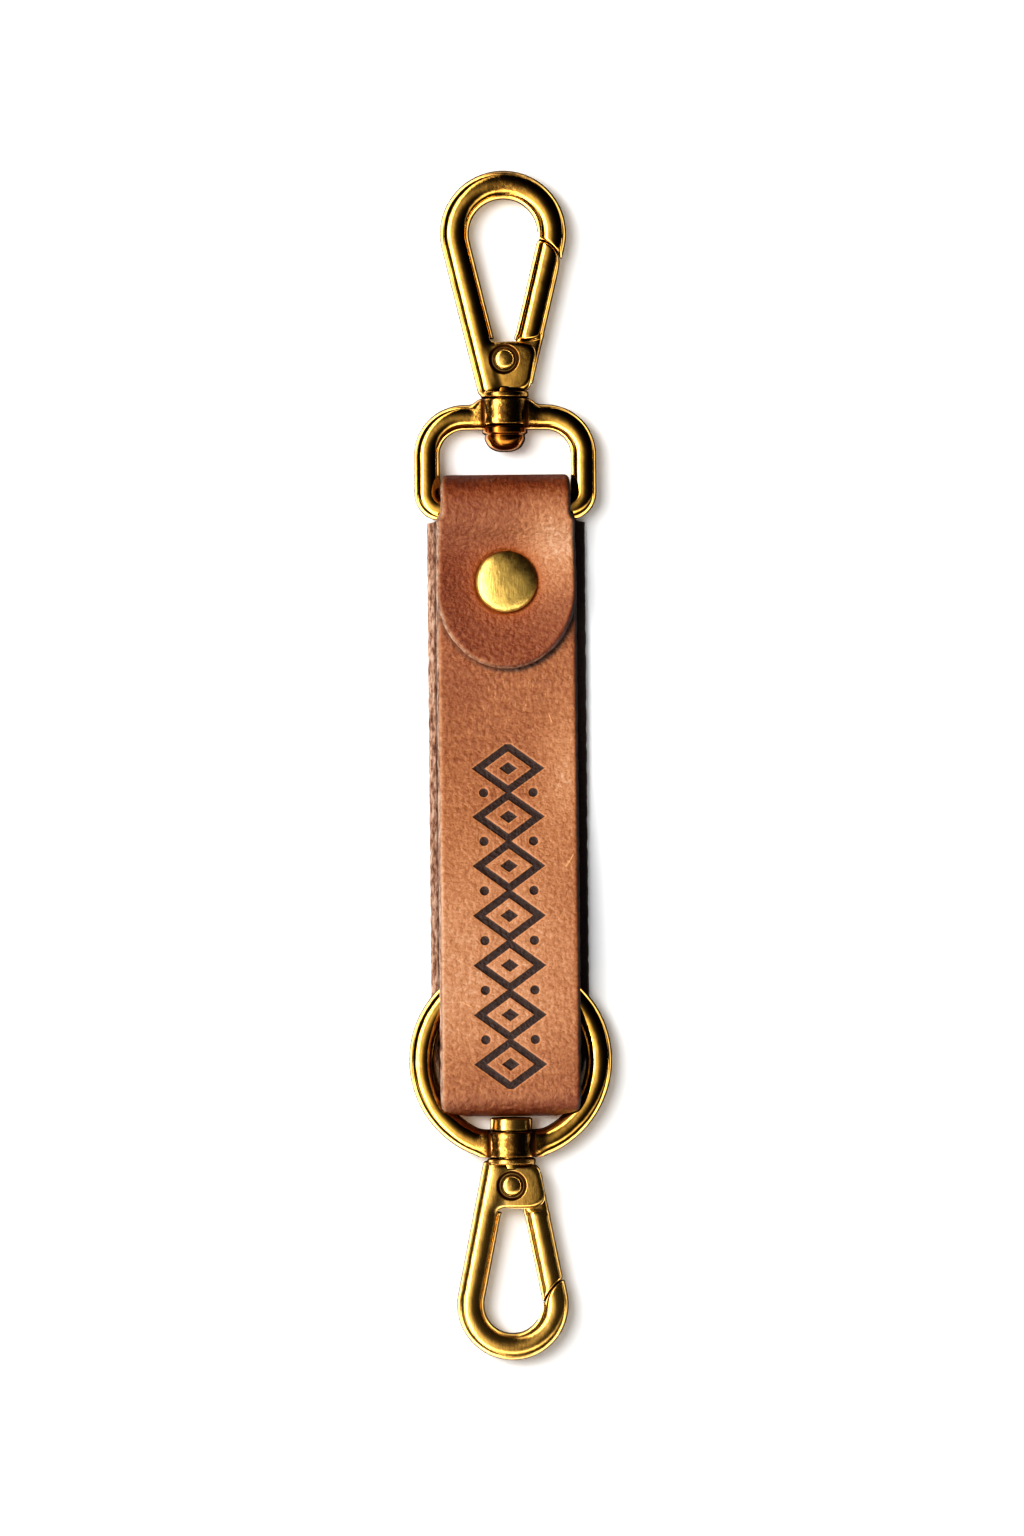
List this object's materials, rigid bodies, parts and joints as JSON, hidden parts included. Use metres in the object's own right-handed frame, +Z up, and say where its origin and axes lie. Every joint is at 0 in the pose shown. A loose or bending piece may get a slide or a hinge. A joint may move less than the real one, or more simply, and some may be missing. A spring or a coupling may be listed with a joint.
{
  "type": "leather strap keychain",
  "caption": "Folded leather strap keychain with a riveted flap, a swivel ring in each end loop and a sprung-gate snap hook on each ring.",
  "frame": {"origin": "under the middle of the whole keychain, on the surface that the strap's back lies on", "axes": "+Y along the strap towards the D ring and the larger hook, +Z up out of the surface on the flap side, +X towards the gates of both hooks"},
  "size_m": [0.0304, 0.1784, 0.0082],
  "materials": {
    "leather": "waxed, semi-matte tan",
    "brass": "polished, lightly aged",
    "spring_steel": "bright drawn wire"
  },
  "bodies": {
    "strap": {"strap": "leather", "rivet_cap": "brass", "rivet_post": "brass"},
    "top_ring": {"top_ring": "brass"},
    "top_hook": {"top_hook_frame": "brass", "top_swivel_stud": "brass", "top_gate_rivet": "brass", "top_gate_spring": "spring_steel"},
    "top_gate": {"top_gate": "brass"},
    "bottom_ring": {"bottom_ring": "brass"},
    "bottom_hook": {"bottom_hook_frame": "brass", "bottom_swivel_stud": "brass", "bottom_gate_rivet": "brass", "bottom_gate_spring": "spring_steel"},
    "bottom_gate": {"bottom_gate": "brass"}
  },
  "joints": [
    {"name": "top_ring_hinge", "type": "hinge", "parent": "strap", "child": "top_ring", "pos_m": [0, 0.0386, 0.0041], "axis": [1, 0, 0], "range_deg": [-90, 90]},
    {"name": "top_swivel", "type": "hinge", "parent": "top_ring", "child": "top_hook", "pos_m": [0, 0.055, 0.0041], "axis": [0, 1, 0], "continuous": true},
    {"name": "top_gate_hinge", "type": "hinge", "parent": "top_hook", "child": "top_gate", "pos_m": [0, 0.06085, 0.0041], "axis": [0, 0, 1], "range_deg": [0, 25], "stiffness_Nm_per_rad": 0.03, "springref_deg": -40.11, "deforming": ["top_gate_spring"]},
    {"name": "bottom_ring_slide", "type": "slide", "parent": "strap", "child": "bottom_ring", "axis": [0, -1, 0], "range_m": [0, 0.011]},
    {"name": "bottom_swivel", "type": "hinge", "parent": "bottom_ring", "child": "bottom_hook", "pos_m": [0, -0.05875, 0.0041], "axis": [0, 1, 0], "continuous": true},
    {"name": "bottom_gate_hinge", "type": "hinge", "parent": "bottom_hook", "child": "bottom_gate", "pos_m": [0, -0.06295, 0.0041], "axis": [0, 0, -1], "range_deg": [0, 25], "stiffness_Nm_per_rad": 0.03, "springref_deg": -40.11, "deforming": ["bottom_gate_spring"]}
  ]
}
